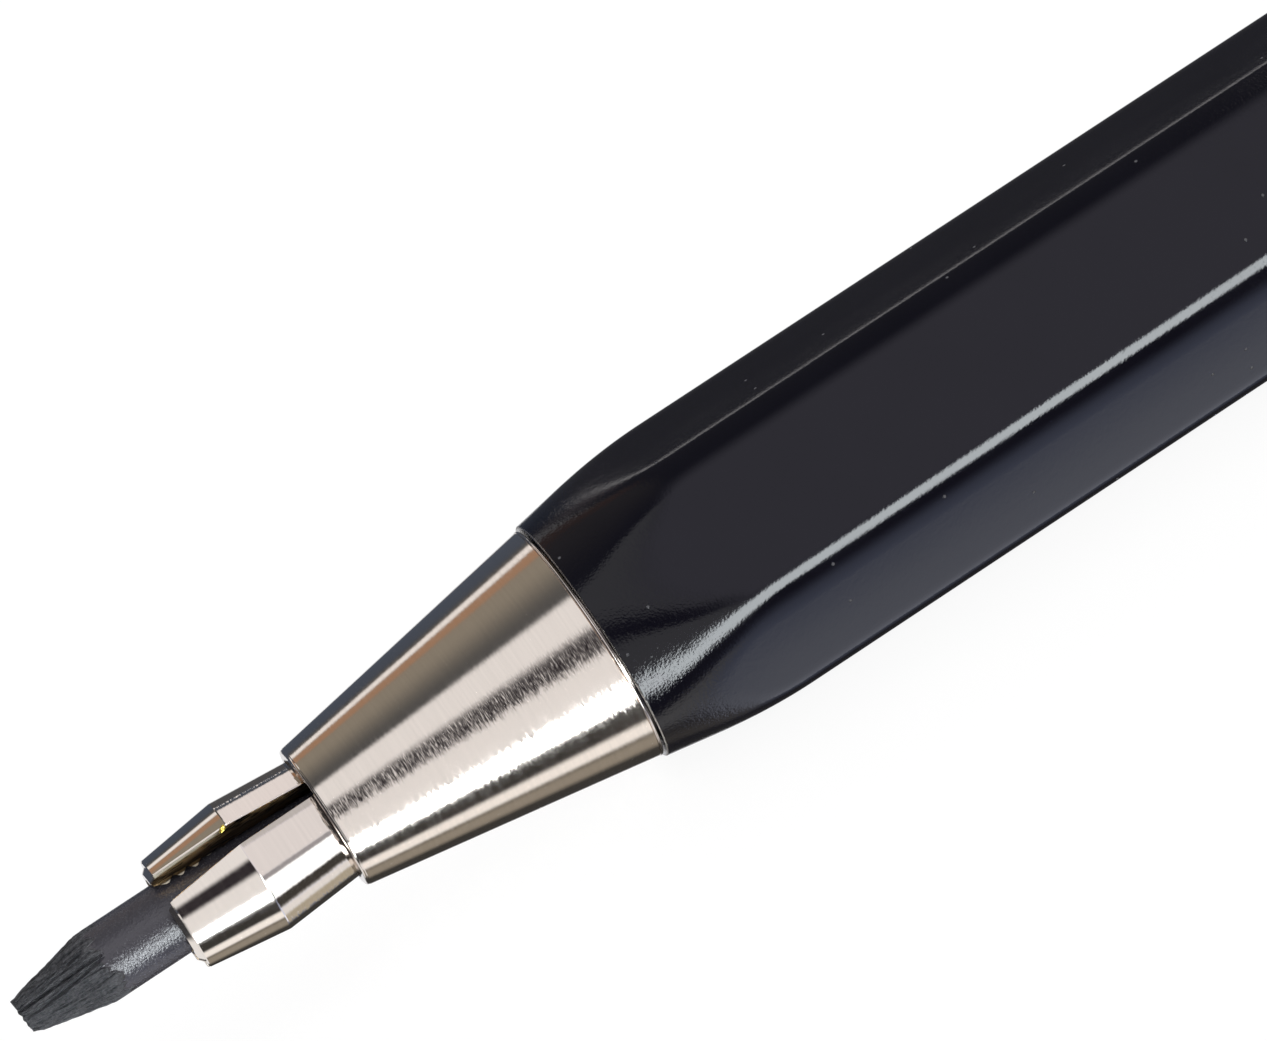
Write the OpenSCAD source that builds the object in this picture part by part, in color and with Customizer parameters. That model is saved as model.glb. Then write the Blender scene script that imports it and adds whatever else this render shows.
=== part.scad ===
// Clutch pencil for carpenters: a hexagonal lacquered barrel with a three-jaw
// collet that grips a 2 mm graphite lead. Pressing the button pushes the lead
// tube and the collet forwards, and the jaws spring open outside the nose.
//
// Every sub-part is drawn around the local Z axis. Local z is the station along
// the pencil in millimetres: 0 at the open end of the nose cone, negative
// towards the writing tip and positive towards the button. place() turns that
// axis to +X and stands the pencil on one of its flats.

/* [Lead] */
// Diameter of the lead
lead_d = 2.0; // [1.8:0.05:2.0]
// Length of a fresh lead
lead_len = 120; // [90:1:120]
// How far the lead stands out of the nose cone
lead_out = 9.3; // [7:0.1:12]
// Length of the sharpened point
point_len = 2.3; // [1.5:0.1:2.3]
// Diameter of the blunt end of the point
point_d = 0.94; // [0.5:0.02:1.2]

/* [Barrel] */
// Distance across the flats of the barrel
barrel_af = 7.3; // [7.1:0.1:7.9]
// Radius of the rounded corners of the hexagon
corner_r = 1.4; // [0.8:0.1:1.8]
// Length of the barrel
barrel_len = 103.8; // [103:0.1:115]
// Diameter of the bore that runs through the barrel
barrel_bore_d = 5.6; // [5.56:0.01:5.7]

/* [Nose cone] */
// Length of the visible cone
nose_len = 8.2; // [8:0.1:8.6]
// Diameter at the open end of the cone
nose_tip_d = 4.08; // [4:0.02:4.3]
// Diameter where the cone meets the barrel
nose_base_d = 6.82; // [6.6:0.02:6.9]

/* [Collet] */
// How far the jaws stand out of the nose cone
jaw_out = 4.6; // [4.2:0.1:5]
// Largest diameter of the jaws
jaw_head_d = 3.82; // [3.76:0.02:3.9]
// Diameter at the front of the jaws
jaw_tip_d = 3.26; // [3:0.02:3.4]
// Diameter of the jaws at the open end of the nose cone
jaw_mouth_d = 3.45; // [3.3:0.01:3.46]
// Angle of the first slot round the axis, from the bottom flat
slot_angle = 98; // [0:0.5:119.5]

/* [Spring] */
// Wire diameter of the return spring
wire_d = 0.35; // [0.25:0.05:0.4]
// Mean diameter of the coils
coil_d = 4.3; // [4.2:0.05:4.5]
// Number of open coils
open_coils = 11; // [6:1:12]

/* [Clip and button] */
// Length of the clip arm
clip_len = 36; // [25:1:45]
// Width of the clip arm
clip_w = 3.2; // [2.4:0.1:3.6]
// Thickness of the clip's sheet metal
clip_t = 0.5; // [0.4:0.05:0.6]
// Diameter of the knurled head of the button
button_d = 5.8; // [5.2:0.1:6.2]
// Length of the knurled head of the button, with its dome
button_head = 9.7; // [8.5:0.1:12]
// Number of grooves in the knurl
knurls = 30; // [20:1:36]

/* [Hidden] */
$fn = 72;

run_gap = 0.06;   // radial clearance of parts that slide in each other
fit_gap = 0.01;   // radial clearance of parts that are pressed or screwed together
over = 1;         // how far a cutting solid runs past what it cuts

// Barrel
barrel_z0 = nose_len;
barrel_z1 = barrel_z0 + barrel_len;
flat_r = barrel_af / 2;
corner_c = (flat_r - corner_r) / cos(30);   // from the axis to a corner arc's centre
corner_out = corner_c + corner_r;           // from the axis to the corner's outside
bore_r = barrel_bore_d / 2;
shoulder_slope = 0.173;                     // rise of the turned shoulders
shoulder_arc_r = 13.5;                      // radius that blends a shoulder into the corners
shoulder_edge = 0.06;                       // small round at the barrel's rims
shoulder_angle = atan(shoulder_slope);
shoulder_arc_z = shoulder_arc_r * sin(shoulder_angle);
shoulder_arc_r0 = corner_out - shoulder_arc_r * (1 - cos(shoulder_angle));
rim_r = nose_base_d / 2 + 0.08;             // radius of the shoulder at the rim
shoulder_line = (shoulder_arc_r0 - rim_r) / shoulder_slope;

// Nose cone
mouth_len = 0.9;                            // length of the conical seat in the nose
mouth_gap = 0.03;                           // gap between the seat and the closed jaws
spigot_len = 6;
spigot_z1 = nose_len + spigot_len;
cavity_r = 2.2;
cavity_z = 5;                               // station where the cavity reaches its full width
nose_edge = 0.06;                           // small bevel at both ends of the cone
thread_pitch = 0.5;
thread_depth = 0.16;
spigot_thread = [nose_len + 1, spigot_z1 - 0.4];

// Collet
jaw_lip = 0.11;                             // the jaws' inner lip stands this far ahead
jaw_bend_z = -2.34;                         // station of the largest diameter
jaw_taper = (jaw_head_d - jaw_mouth_d) / 2 / -jaw_bend_z;
jaw_root_z = 9;                             // where the fingers bend
finger_r = 1.4;
finger_z = (jaw_mouth_d / 2 - finger_r) / jaw_taper;   // where the taper meets the finger
grip_r = lead_d / 2 + 0.02;                 // the jaws' bore, 0.02 mm clear of the lead
tooth_depth = 0.12;
tooth_pitch = 0.42;
teeth = 4;
relief_r = grip_r + tooth_depth;
grip_z = -jaw_out + 0.05;                   // where the jaws' bore starts
grip_edge = 0.04;                           // small bevel at the bore's mouth
lip_r = [grip_r + 0.14, grip_r + 0.3];      // inside and outside of the lip's front face
tooth_flank = 0.6;                          // share of the pitch that a tooth's slope takes
slot_w = 0.43;                              // slot width at the nose's open end
slot_spread = 0.104;                        // how much wider the slot gets per millimetre outwards
slot_min_w = 0.3;
slot_turn_z = (slot_w - slot_min_w) / slot_spread;
collar_r = 1.85;
collar_z = [9.4, 10.2];
shank_z1 = 13.2;
shank_r = 1.38;
shank_thread_depth = 0.1;
shank_thread = [collar_z[1] + 0.6, shank_z1 - 0.4];
shank_room = 0.2;                           // depth of the lead tube's socket behind the shank

// Lead tube and spring
tube_r = 1.6;
tube_bore_r = 1.2;
tube_z0 = collar_z[1];
tube_z1 = barrel_z1 + 7;
seat_t = 0.6;
seat_z1 = spigot_z1 + seat_t;
spring_z1 = 33;
spring_gap = 0.02;                          // gap between the spring and what it pushes on
closed_coils = 1.5;                         // flat coils at each end of the spring
coil_steps = 20;                            // straight pieces in one coil
wire_sides = 8;
wire_r = 0.49 * wire_d;                     // a little under half, so flat coils stay apart
collar_t = 1.6;
spring_collar_r = 2.5;
seat_gap = 0.08;
bush_z = [100, 105];

// Rear end
ferrule_z0 = barrel_z1 - 5;
ferrule_z1 = barrel_z1 + 5.5;
ferrule_thread = [barrel_z1 - 4.8, barrel_z1 - 0.6];
flange_t = 2;
flange_r = 3.35;
flange_edge = [0.1, 0.5];                   // bevels at the flange's front and back
ring_z1 = ferrule_z1 - flange_t;
neck_r = 2.36;                              // the button's neck, which slides in the ferrule
ferrule_bore_r = neck_r + run_gap;
ferrule_r = 2.72;                           // the ferrule's neck, inside the clip ring
ring_r = 3.3;
head_z0 = ferrule_z1 + 3.5;
head_z1 = head_z0 + button_head;
neck_z0 = barrel_z1 + 1.5;
socket_r = 1.93;
socket_z = [barrel_z1 + 1.9, tube_z1 - 0.3];
socket_slot_w = 0.4;
socket_slot_z = socket_z[0] + 1.2;
neck_edge = 0.2;
head_edge = 0.3;
dome_r = 1.2;
dome_z = head_z1 - dome_r;
knurl_z = [head_z0 + 1, dome_z - 0.8];
knurl_side = 0.4;                           // side of the square cutter that makes each groove
knurl_lift = 0.1;                           // height of the cutter's middle over the head
pocket_r = socket_r + 0.04;                 // bore of the button
insert_z = [tube_z1 + 0.4, tube_z1 + 6.4];
insert_r = pocket_r - fit_gap;
dust_r = 1.5;
dust_z1 = insert_z[1] + 2;                  // end of the space for graphite dust
guide_r = lead_d / 2 + run_gap;
cone_z = [insert_z[0] + 1.2, insert_z[1] - 0.6];
cone_end_r = 0.3;
blade_t = 0.25;
blades = 3;
blade_slot_z = [cone_z[0] + 0.2, cone_z[1] - 0.2];
blade_z = [cone_z[0] + 0.25, cone_z[1] - 0.25];
blade_edge_r = [guide_r - 0.2, 0.32];       // the cutting edge's two ends, just inside the cone
blade_back_gap = 0.1;

// Clip
clip_gap = 1;                               // height of the arm over the barrel's flat
clip_lift = flat_r + clip_gap;
clip_z1 = ring_z1 - 2.2;                    // station where the arm bends
clip_foot_r = 1.1;                          // radius of the ball under the arm's end
clip_foot_back = 2.2;                       // from the arm's end to the ball
clip_foot_gap = 0.03;                       // gap between the ball and the barrel

// Frame
tip_z = -lead_out;
mid_z = (tip_z + head_z1) / 2;

// Puts the local axis along +X, with the bottom flat at z = 0 and the length centred.
module place() {
    translate([-mid_z, 0, flat_r]) rotate([0, 90, 0]) children();
}

// A solid cylinder between two stations.
module rod(r, z0, z1) {
    translate([0, 0, z0]) cylinder(r = r, h = z1 - z0);
}

// A tube between two stations.
module ring(r_out, r_in, z0, z1) {
    difference() {
        rod(r_out, z0, z1);
        rod(r_in, z0 - over, z1 + over);
    }
}

// Thread drawn as closed rings of the given pitch, standing on a cylinder.
module thread_rings(r_major, z0, z1) {
    count = floor((z1 - z0) / thread_pitch);
    for (i = [0 : count - 1])
        translate([0, 0, z0 + i * thread_pitch])
            rotate_extrude()
                polygon([[r_major - thread_depth - fit_gap, 0], [r_major - thread_depth, 0],
                         [r_major, thread_pitch * 0.4], [r_major, thread_pitch * 0.6],
                         [r_major - thread_depth, thread_pitch],
                         [r_major - thread_depth - fit_gap, thread_pitch]]);
}

// ---- Barrel ----

// Hexagon with round corners, one flat towards local +x.
module rounded_hexagon() {
    side = 2 * corner_c * sin(30);
    circle(r = corner_c * cos(30));
    for (i = [0 : 5])
        rotate(i * 60) {
            translate([0, -side / 2]) square([flat_r, side]);
            rotate(30) translate([corner_c, 0]) circle(r = corner_r);
        }
}

// Shoulder outline from the rim to the corners: a straight flank, then an arc.
function shoulder_points(steps = 8) = concat(
    [[rim_r - shoulder_edge, 0], [rim_r, shoulder_edge]],
    [for (i = [0 : steps])
        let (a = shoulder_angle * (1 - i / steps))
        [corner_out - shoulder_arc_r * (1 - cos(a)),
         shoulder_line + shoulder_arc_z - shoulder_arc_r * sin(a)]]);

module barrel() {
    front = shoulder_points();
    back = [for (i = [len(front) - 1 : -1 : 0]) [front[i][0], barrel_len - front[i][1]]];
    color([0.03, 0.03, 0.035])
        difference() {
            translate([0, 0, barrel_z0])
                intersection() {
                    linear_extrude(height = barrel_len) rounded_hexagon();
                    rotate_extrude() polygon(concat([[0, 0]], front, back, [[0, barrel_len]]));
                }
            rod(bore_r, barrel_z0 - over, barrel_z1 + over);
        }
}

// ---- Nose ----

module nose_cone() {
    spigot_r = bore_r - fit_gap;
    slope = (nose_base_d - nose_tip_d) / 2 / nose_len;
    mouth_r = jaw_mouth_d / 2 + mouth_gap;
    seat_r = mouth_r - jaw_taper * mouth_len;
    color([0.78, 0.75, 0.71])
        difference() {
            union() {
                rotate_extrude()
                    polygon([[0, 0], [nose_tip_d / 2 - nose_edge, 0],
                             [nose_tip_d / 2 + nose_edge * slope, nose_edge],
                             [nose_base_d / 2 - nose_edge * slope, nose_len - nose_edge],
                             [nose_base_d / 2 - nose_edge, nose_len], [0, nose_len]]);
                rod(spigot_r - thread_depth, nose_len - fit_gap, spigot_z1);
                thread_rings(spigot_r, spigot_thread[0], spigot_thread[1]);
            }
            translate([0, 0, -fit_gap])
                cylinder(r1 = mouth_r + jaw_taper * fit_gap, r2 = seat_r, h = mouth_len + fit_gap);
            translate([0, 0, mouth_len - fit_gap])
                cylinder(r1 = seat_r, r2 = cavity_r, h = cavity_z - mouth_len + 2 * fit_gap);
            rod(cavity_r, cavity_z, spigot_z1 + over);
        }
}

module spring_seat() {
    color([0.72, 0.56, 0.28]) ring(bore_r - seat_gap, tube_r + run_gap, spigot_z1, seat_z1);
}

// ---- Collet ----

// Outline of the collet's fingers, with the gripping teeth on the inside.
function finger_outline() =
    let (front = -jaw_out - jaw_lip)
    concat(
        [[grip_r + grip_edge, grip_z], [lip_r[0], front], [lip_r[1], front],
         [jaw_tip_d / 2, -jaw_out], [jaw_head_d / 2, jaw_bend_z], [finger_r, finger_z],
         [finger_r, jaw_root_z], [relief_r, jaw_root_z]],
        [for (i = [teeth : -1 : 1], step = [0, 1])
            step == 0 ? [relief_r, grip_z + i * tooth_pitch]
                      : [grip_r, grip_z + (i - tooth_flank) * tooth_pitch]]);

// Everything to one side of a slot's wall. The wall leans with the slot's spread.
module slot_side(sign) {
    z0 = -jaw_out - over;
    reach = 3;
    w0 = slot_w - slot_spread * z0;
    rotate([90, 0, 90])
        linear_extrude(height = reach)
            polygon([[sign * w0 / 2, z0], [sign * slot_min_w / 2, slot_turn_z],
                     [sign * slot_min_w / 2, jaw_root_z + over], [sign * reach, jaw_root_z + over],
                     [sign * reach, z0]]);
}

module jaw(i) {
    color([0.8, 0.77, 0.73])
        intersection() {
            rotate_extrude() polygon(finger_outline());
            rotate([0, 0, slot_angle + i * 120]) translate([-over, 0, 0]) slot_side(1);
            rotate([0, 0, slot_angle + (i + 1) * 120]) translate([-over, 0, 0]) slot_side(-1);
        }
}

module collet_body() {
    color([0.8, 0.77, 0.73])
        difference() {
            union() {
                rod(finger_r, jaw_root_z, shank_z1);
                rod(collar_r, collar_z[0], collar_z[1]);
            }
            rod(relief_r, jaw_root_z - over, shank_z1 + over);
            for (z = [shank_thread[0] : thread_pitch : shank_thread[1]])
                ring(finger_r + over, shank_r - shank_thread_depth, z, z + thread_pitch / 2);
            ring(finger_r + over, shank_r, collar_z[1], shank_z1 + over);
        }
}

// ---- Lead, lead tube and spring ----

module lead() {
    color([0.16, 0.16, 0.17])
        union() {
            translate([0, 0, tip_z])
                cylinder(d1 = point_d, d2 = lead_d, h = point_len);
            rod(lead_d / 2, tip_z + point_len, tip_z + lead_len);
        }
}

module lead_tube() {
    color([0.76, 0.6, 0.32])
        difference() {
            ring(tube_r, tube_bore_r, tube_z0, tube_z1);
            rod(finger_r, tube_z0 - over, shank_z1 + shank_room);
        }
}

module spring_collar() {
    color([0.76, 0.6, 0.32]) ring(spring_collar_r, tube_r + fit_gap, spring_z1, spring_z1 + collar_t);
}

// A point on the coil's wire: turn counts the coils from the front end.
function coil_centre(turn, length) =
    let (pitch = (length - (2 * closed_coils + 1) * wire_d) / open_coils,
         open = min(max(turn - closed_coils, 0), open_coils),
         flat = turn - open)
    [coil_d / 2 * cos(360 * turn), coil_d / 2 * sin(360 * turn),
     wire_d / 2 + flat * wire_d + open * pitch];

module return_spring() {
    length = spring_z1 - seat_z1 - 2 * spring_gap;
    steps = coil_steps * (open_coils + 2 * closed_coils);
    n = wire_sides;
    rings = [for (i = [0 : steps], j = [0 : n - 1])
        let (turn = i / coil_steps,
             c = coil_centre(turn, length),
             out = wire_r * cos(360 * j / n),
             ahead = wire_r * sin(360 * j / n))
        [c[0] + out * cos(360 * turn), c[1] + out * sin(360 * turn), c[2] + ahead]];
    faces = concat(
        [[for (j = [0 : n - 1]) j]],
        [[for (j = [n - 1 : -1 : 0]) steps * n + j]],
        [for (i = [0 : steps - 1], j = [0 : n - 1])
            let (k = (j + 1) % n)
            [i * n + j, (i + 1) * n + j, (i + 1) * n + k, i * n + k]]);
    color([0.7, 0.71, 0.73])
        translate([0, 0, seat_z1 + spring_gap]) polyhedron(points = rings, faces = faces, convexity = 20);
}

module rear_bush() {
    color([0.76, 0.6, 0.32]) ring(bore_r - fit_gap, tube_r + run_gap, bush_z[0], bush_z[1]);
}

// ---- Rear end: ferrule, clip and button ----

module end_ferrule() {
    spigot_r = bore_r - fit_gap;
    color([0.78, 0.75, 0.71])
        difference() {
            union() {
                rod(spigot_r - thread_depth, ferrule_z0, barrel_z1);
                thread_rings(spigot_r, ferrule_thread[0], ferrule_thread[1]);
                rod(ferrule_r, barrel_z1 - fit_gap, ring_z1 + fit_gap);
                rotate_extrude()
                    polygon([[0, ring_z1], [flange_r - flange_edge[0], ring_z1],
                             [flange_r, ring_z1 + flange_edge[0]],
                             [flange_r, ferrule_z1 - flange_edge[1]],
                             [flange_r - flange_edge[1], ferrule_z1], [0, ferrule_z1]]);
            }
            rod(ferrule_bore_r, ferrule_z0 - over, ferrule_z1 + over);
        }
}

// Ring round the ferrule, with the post that carries the arm. Local -x is up.
module clip_ring() {
    post_h = clip_lift + clip_t;
    color([0.8, 0.78, 0.75])
        difference() {
            union() {
                rod(ring_r, barrel_z1 + fit_gap, ring_z1 - fit_gap);
                translate([-post_h, -clip_w / 2, clip_z1])
                    cube([post_h, clip_w, ring_z1 - fit_gap - clip_z1]);
            }
            rod(ferrule_r + fit_gap, barrel_z1 - over, ring_z1 + over);
        }
}

// Flat spring arm over the top flat, with a ball under its end and a raised tip.
module clip_arm() {
    z0 = clip_z1 - clip_len;
    foot_z = z0 + clip_foot_back;
    foot_c = flat_r + clip_foot_gap + clip_foot_r;
    color([0.8, 0.78, 0.75])
        union() {
            translate([-clip_lift - clip_t, -clip_w / 2, z0 + clip_w / 2])
                cube([clip_t, clip_w, clip_z1 - z0 - clip_w / 2]);
            translate([-clip_lift - clip_t, 0, z0 + clip_w / 2])
                rotate([0, 90, 0]) cylinder(d = clip_w, h = clip_t);
            intersection() {
                translate([-foot_c, 0, foot_z]) sphere(r = clip_foot_r);
                translate([-clip_lift - clip_t / 2, -clip_foot_r, foot_z - clip_foot_r])
                    cube([clip_gap + clip_t, 2 * clip_foot_r, 2 * clip_foot_r]);
            }
        }
}

// Split sleeve on the end of the lead tube, which holds the button by friction.
module cap_socket() {
    color([0.76, 0.6, 0.32])
        difference() {
            ring(socket_r, tube_r + fit_gap, socket_z[0], socket_z[1]);
            for (i = [0 : 2])
                rotate([0, 0, i * 60])
                    translate([-socket_r - over, -socket_slot_w / 2, socket_slot_z])
                        cube([2 * (socket_r + over), socket_slot_w, socket_z[1] - socket_slot_z + over]);
        }
}

module button_shell() {
    head_r = button_d / 2;
    color([0.78, 0.75, 0.71])
        difference() {
            rotate_extrude()
                polygon(concat(
                    [[0, neck_z0], [neck_r - neck_edge, neck_z0], [neck_r, neck_z0 + neck_edge],
                     [neck_r, head_z0], [head_r - head_edge, head_z0], [head_r, head_z0 + head_edge]],
                    [for (a = [0 : 15 : 90]) [head_r - dome_r * (1 - cos(a)), dome_z + dome_r * sin(a)]],
                    [[0, head_z1]]));
            rod(pocket_r, neck_z0 - over, insert_z[1] + fit_gap);
            rod(dust_r, insert_z[1], dust_z1);
            for (i = [0 : knurls - 1])
                rotate([0, 0, i * 360 / knurls])
                    translate([head_r + knurl_lift, 0, knurl_z[0]])
                        rotate([0, 0, 45])
                            translate([-knurl_side / 2, -knurl_side / 2, 0])
                                cube([knurl_side, knurl_side, knurl_z[1] - knurl_z[0]]);
        }
}

// Guide and cone for the point of the lead, with a slot for each blade.
module sharpener_insert() {
    slot_t = blade_t + 2 * fit_gap;
    color([0.62, 0.63, 0.65])
        difference() {
            rod(insert_r, insert_z[0], insert_z[1]);
            rod(guide_r, insert_z[0] - over, cone_z[0]);
            translate([0, 0, cone_z[0] - fit_gap])
                cylinder(r1 = guide_r, r2 = cone_end_r, h = cone_z[1] - cone_z[0]);
            rod(cone_end_r, cone_z[0], insert_z[1] + over);
            for (i = [0 : blades - 1])
                rotate([0, 0, i * 360 / blades])
                    translate([0, -slot_t / 2, blade_slot_z[0]])
                        cube([insert_r + over, slot_t, blade_slot_z[1] - blade_slot_z[0]]);
        }
}

// Plate whose slanting edge lies just inside the cone.
module sharpener_blade(i) {
    back_r = insert_r - blade_back_gap;
    color([0.75, 0.76, 0.78])
        rotate([0, 0, i * 360 / blades])
            translate([0, blade_t / 2, 0])
                rotate([90, 0, 0])
                    linear_extrude(height = blade_t)
                        polygon([[blade_edge_r[0], blade_z[0]], [back_r, blade_z[0]],
                                 [back_r, blade_z[1]], [blade_edge_r[1], blade_z[1]]]);
}

place() barrel();
place() nose_cone();
place() spring_seat();
place() return_spring();
place() spring_collar();
place() collet_body();
place() jaw(0);  // jaw_1
place() jaw(1);  // jaw_2
place() jaw(2);  // jaw_3
place() lead_tube();
place() lead();
place() rear_bush();
place() end_ferrule();
place() clip_ring();
place() clip_arm();
place() cap_socket();
place() button_shell();
place() sharpener_insert();
place() sharpener_blade(0);  // sharpener_blade_1
place() sharpener_blade(1);  // sharpener_blade_2
place() sharpener_blade(2);  // sharpener_blade_3
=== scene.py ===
import math

import bmesh
import bpy
from mathutils import Matrix, Vector, noise


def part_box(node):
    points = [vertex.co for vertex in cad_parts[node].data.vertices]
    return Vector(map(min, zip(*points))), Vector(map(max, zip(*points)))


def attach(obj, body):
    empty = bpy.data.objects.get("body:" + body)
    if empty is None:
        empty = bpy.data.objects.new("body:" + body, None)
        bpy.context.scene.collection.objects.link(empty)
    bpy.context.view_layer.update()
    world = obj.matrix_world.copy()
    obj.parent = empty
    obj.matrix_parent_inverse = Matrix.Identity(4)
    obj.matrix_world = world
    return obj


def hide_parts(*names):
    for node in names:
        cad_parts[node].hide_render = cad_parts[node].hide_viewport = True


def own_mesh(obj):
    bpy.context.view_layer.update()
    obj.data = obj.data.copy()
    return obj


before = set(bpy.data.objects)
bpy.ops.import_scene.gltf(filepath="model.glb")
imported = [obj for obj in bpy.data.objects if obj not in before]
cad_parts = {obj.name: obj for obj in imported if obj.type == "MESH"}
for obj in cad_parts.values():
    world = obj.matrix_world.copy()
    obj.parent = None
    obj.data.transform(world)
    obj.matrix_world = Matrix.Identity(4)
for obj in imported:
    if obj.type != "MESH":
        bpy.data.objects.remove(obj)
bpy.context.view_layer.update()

# A clutch pencil for carpenters. Stations along it are in millimetres from the open end of the
# nose cone, as in the part's source: negative towards the writing tip, positive towards the button.
# Angles round the axis are in degrees from the side that faces -Y, rising towards +Z.

MM = 0.001
NOSE_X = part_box("nose_cone")[0].x
AXIS_Z = (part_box("lead")[0].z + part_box("lead")[1].z) / 2


def station(x):
    """A row-frame X as a station in millimetres."""
    return (x - NOSE_X) / MM


def start_of(node):
    """The station where a CAD node starts."""
    return station(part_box(node)[0].x)


def end_of(node):
    """The station where a CAD node ends."""
    return station(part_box(node)[1].x)


# ---- Sizes, in millimetres ----

TIP = start_of("lead")
LEAD_END = end_of("lead")
LEAD_R = 1.0
POINT_END = TIP + 2.45
POINT_R = 0.47
SCRAPED_END = POINT_END + 1.2

JAW_FRONT = -4.48
JAW_BEND = -2.23
JAW_LIP = 0.13
JAW_TIP_R = 1.63
JAW_BEND_R = 1.91
JAW_NOSE_R = 1.725
FINGER_R = 1.4
FINGER_END = end_of("jaw_1")
GRIP_R = 1.02
GRIP_ROOT_R = 1.14
TOOTH_PITCH = 0.42
TEETH = 8
SLOT_W = 0.43
SLOT_SPREAD = 0.104
SLOT_MIN_W = 0.3
JAW_CENTRES = (112, -8, 232)

BARREL_START = start_of("barrel")
BARREL_END = end_of("barrel")
NOSE_TIP_R = 2.04
NOSE_BASE_R = 3.41
MOUTH_R = 1.755
FLAT_R = 3.65
CORNER_R = 1.4
RIM_R = 3.49
SHOULDER_SLOPE = 0.173
SHOULDER_BLEND = 0.22
BORE_R = 2.8
SPIGOT_R = BORE_R - 0.17

RING_END = end_of("clip_ring")
FERRULE_END = end_of("end_ferrule")
BUTTON_END = end_of("button_shell")

# ---- Places round the axis ----


def place(x, r, degrees):
    """The row-frame point at a station, a distance from the axis and an angle round it."""
    a = math.radians(degrees)
    return Vector((NOSE_X + x * MM, -r * MM * math.cos(a), AXIS_Z + r * MM * math.sin(a)))


# ---- Meshes ----


def finish_mesh(name, bm, body, nodes, materials, sharp=32):
    """Turns a bmesh into a smooth-shaded piece that rides on a body and stands for CAD nodes."""
    bmesh.ops.remove_doubles(bm, verts=bm.verts, dist=1e-8)
    bmesh.ops.recalc_face_normals(bm, faces=bm.faces)
    mesh = bpy.data.meshes.new(name)
    bm.to_mesh(mesh)
    bm.free()
    mesh.shade_smooth()
    mesh.set_sharp_from_angle(angle=math.radians(sharp))
    for material in materials:
        mesh.materials.append(material)
    piece = bpy.data.objects.new(name, mesh)
    bpy.context.scene.collection.objects.link(piece)
    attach(piece, body)
    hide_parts(*nodes)
    return piece


def bridge(bm, rings, closed=False):
    """Quads between neighbouring rings of vertices, and from the last to the first if closed.

    Returns the faces, one list per pair of rings."""
    following = rings[1:] + rings[:1] if closed else rings[1:]
    made = []
    for a, b in zip(rings, following):
        count = len(a)
        strip = []
        for i in range(count):
            corners = [a[i], a[(i + 1) % count], b[(i + 1) % count], b[i]]
            strip.append(bm.faces.new(corners))
        made.append(strip)
    return made


def revolved(outline):
    """A solid of revolution. The outline is a closed loop of (station, radius)."""
    segments = 192
    bm = bmesh.new()
    rings = [
        [bm.verts.new(place(x, r, 360 * i / segments)) for i in range(segments)]
        for x, r in outline
    ]
    bridge(bm, rings, closed=True)
    return bm


def arc(x, r, radius, start, end, steps):
    """Outline points on an arc. 0 degrees is away from the axis, 90 towards the button."""
    angles = [math.radians(start + (end - start) * i / steps) for i in range(steps + 1)]
    return [(x + radius * math.sin(a), r + radius * math.cos(a)) for a in angles]


def spread(low, high, step):
    """Evenly spaced values from low to high, no further apart than step."""
    rounding = 1e-9
    count = max(1, math.ceil((high - low) / step - rounding))
    return [low + (high - low) * i / count for i in range(count + 1)]


# ---- Nodes ----


class Tree:
    """Short forms for building a node tree."""

    def __init__(self, tree):
        self.tree = tree
        tree.nodes.clear()

    def feed(self, source, socket):
        """Links an output to a socket, or sets the socket to a value."""
        if isinstance(source, bpy.types.NodeSocket):
            self.tree.links.new(source, socket)
        else:
            socket.default_value = source

    def add(self, kind, sources=None, **settings):
        """A node with its settings, and with sources for the inputs named or numbered."""
        node = self.tree.nodes.new("ShaderNode" + kind)
        for key, value in settings.items():
            setattr(node, key, value)
        for name, source in (sources or {}).items():
            self.feed(source, node.inputs[name])
        return node

    def math(self, operation, *sources):
        return self.add("Math", dict(enumerate(sources)), operation=operation).outputs[0]

    def vector(self, operation, *sources):
        return self.add("VectorMath", dict(enumerate(sources)), operation=operation).outputs[0]

    def ramp(self, value, low, high, to_low=0.0, to_high=1.0, smooth=True):
        node = self.add(
            "MapRange",
            {0: value, 1: low, 2: high, 3: to_low, 4: to_high},
            interpolation_type="SMOOTHSTEP" if smooth else "LINEAR",
        )
        return node.outputs[0]

    def mix(self, factor, a, b):
        """A mix of two colours. A Mix node's colours are its inputs 6 and 7, and its output 2."""
        return self.add("Mix", {0: factor, 6: a, 7: b}, data_type="RGBA").outputs[2]

    def noise(self, coords, scale, detail=2.0, rough=0.5):
        sources = {"Vector": coords, "Scale": scale, "Detail": detail, "Roughness": rough}
        return self.add("TexNoise", sources).outputs[0]

    def bump(self, height, distance, normal=None):
        """Bump whose height of 1 stands distance metres high."""
        sources = {"Height": height, "Distance": distance, "Strength": 1.0}
        if normal is not None:
            sources["Normal"] = normal
        return self.add("Bump", sources).outputs[0]


def new_material(name):
    """A material with a Principled shader, and its coordinates in millimetres."""
    material = bpy.data.materials.new(name)
    material.use_nodes = True
    tree = Tree(material.node_tree)
    shader = tree.add("BsdfPrincipled")
    tree.add("OutputMaterial", {"Surface": shader.outputs[0]})
    coords = tree.add("TexCoord").outputs["Object"]
    mm = stretched(tree, coords, 1 / MM, 1 / MM, 1 / MM)
    return material, tree, shader, mm


def stretched(tree, coords, x, y, z):
    """The coordinates, multiplied along each axis."""
    return tree.vector("MULTIPLY", coords, (x, y, z))


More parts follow.
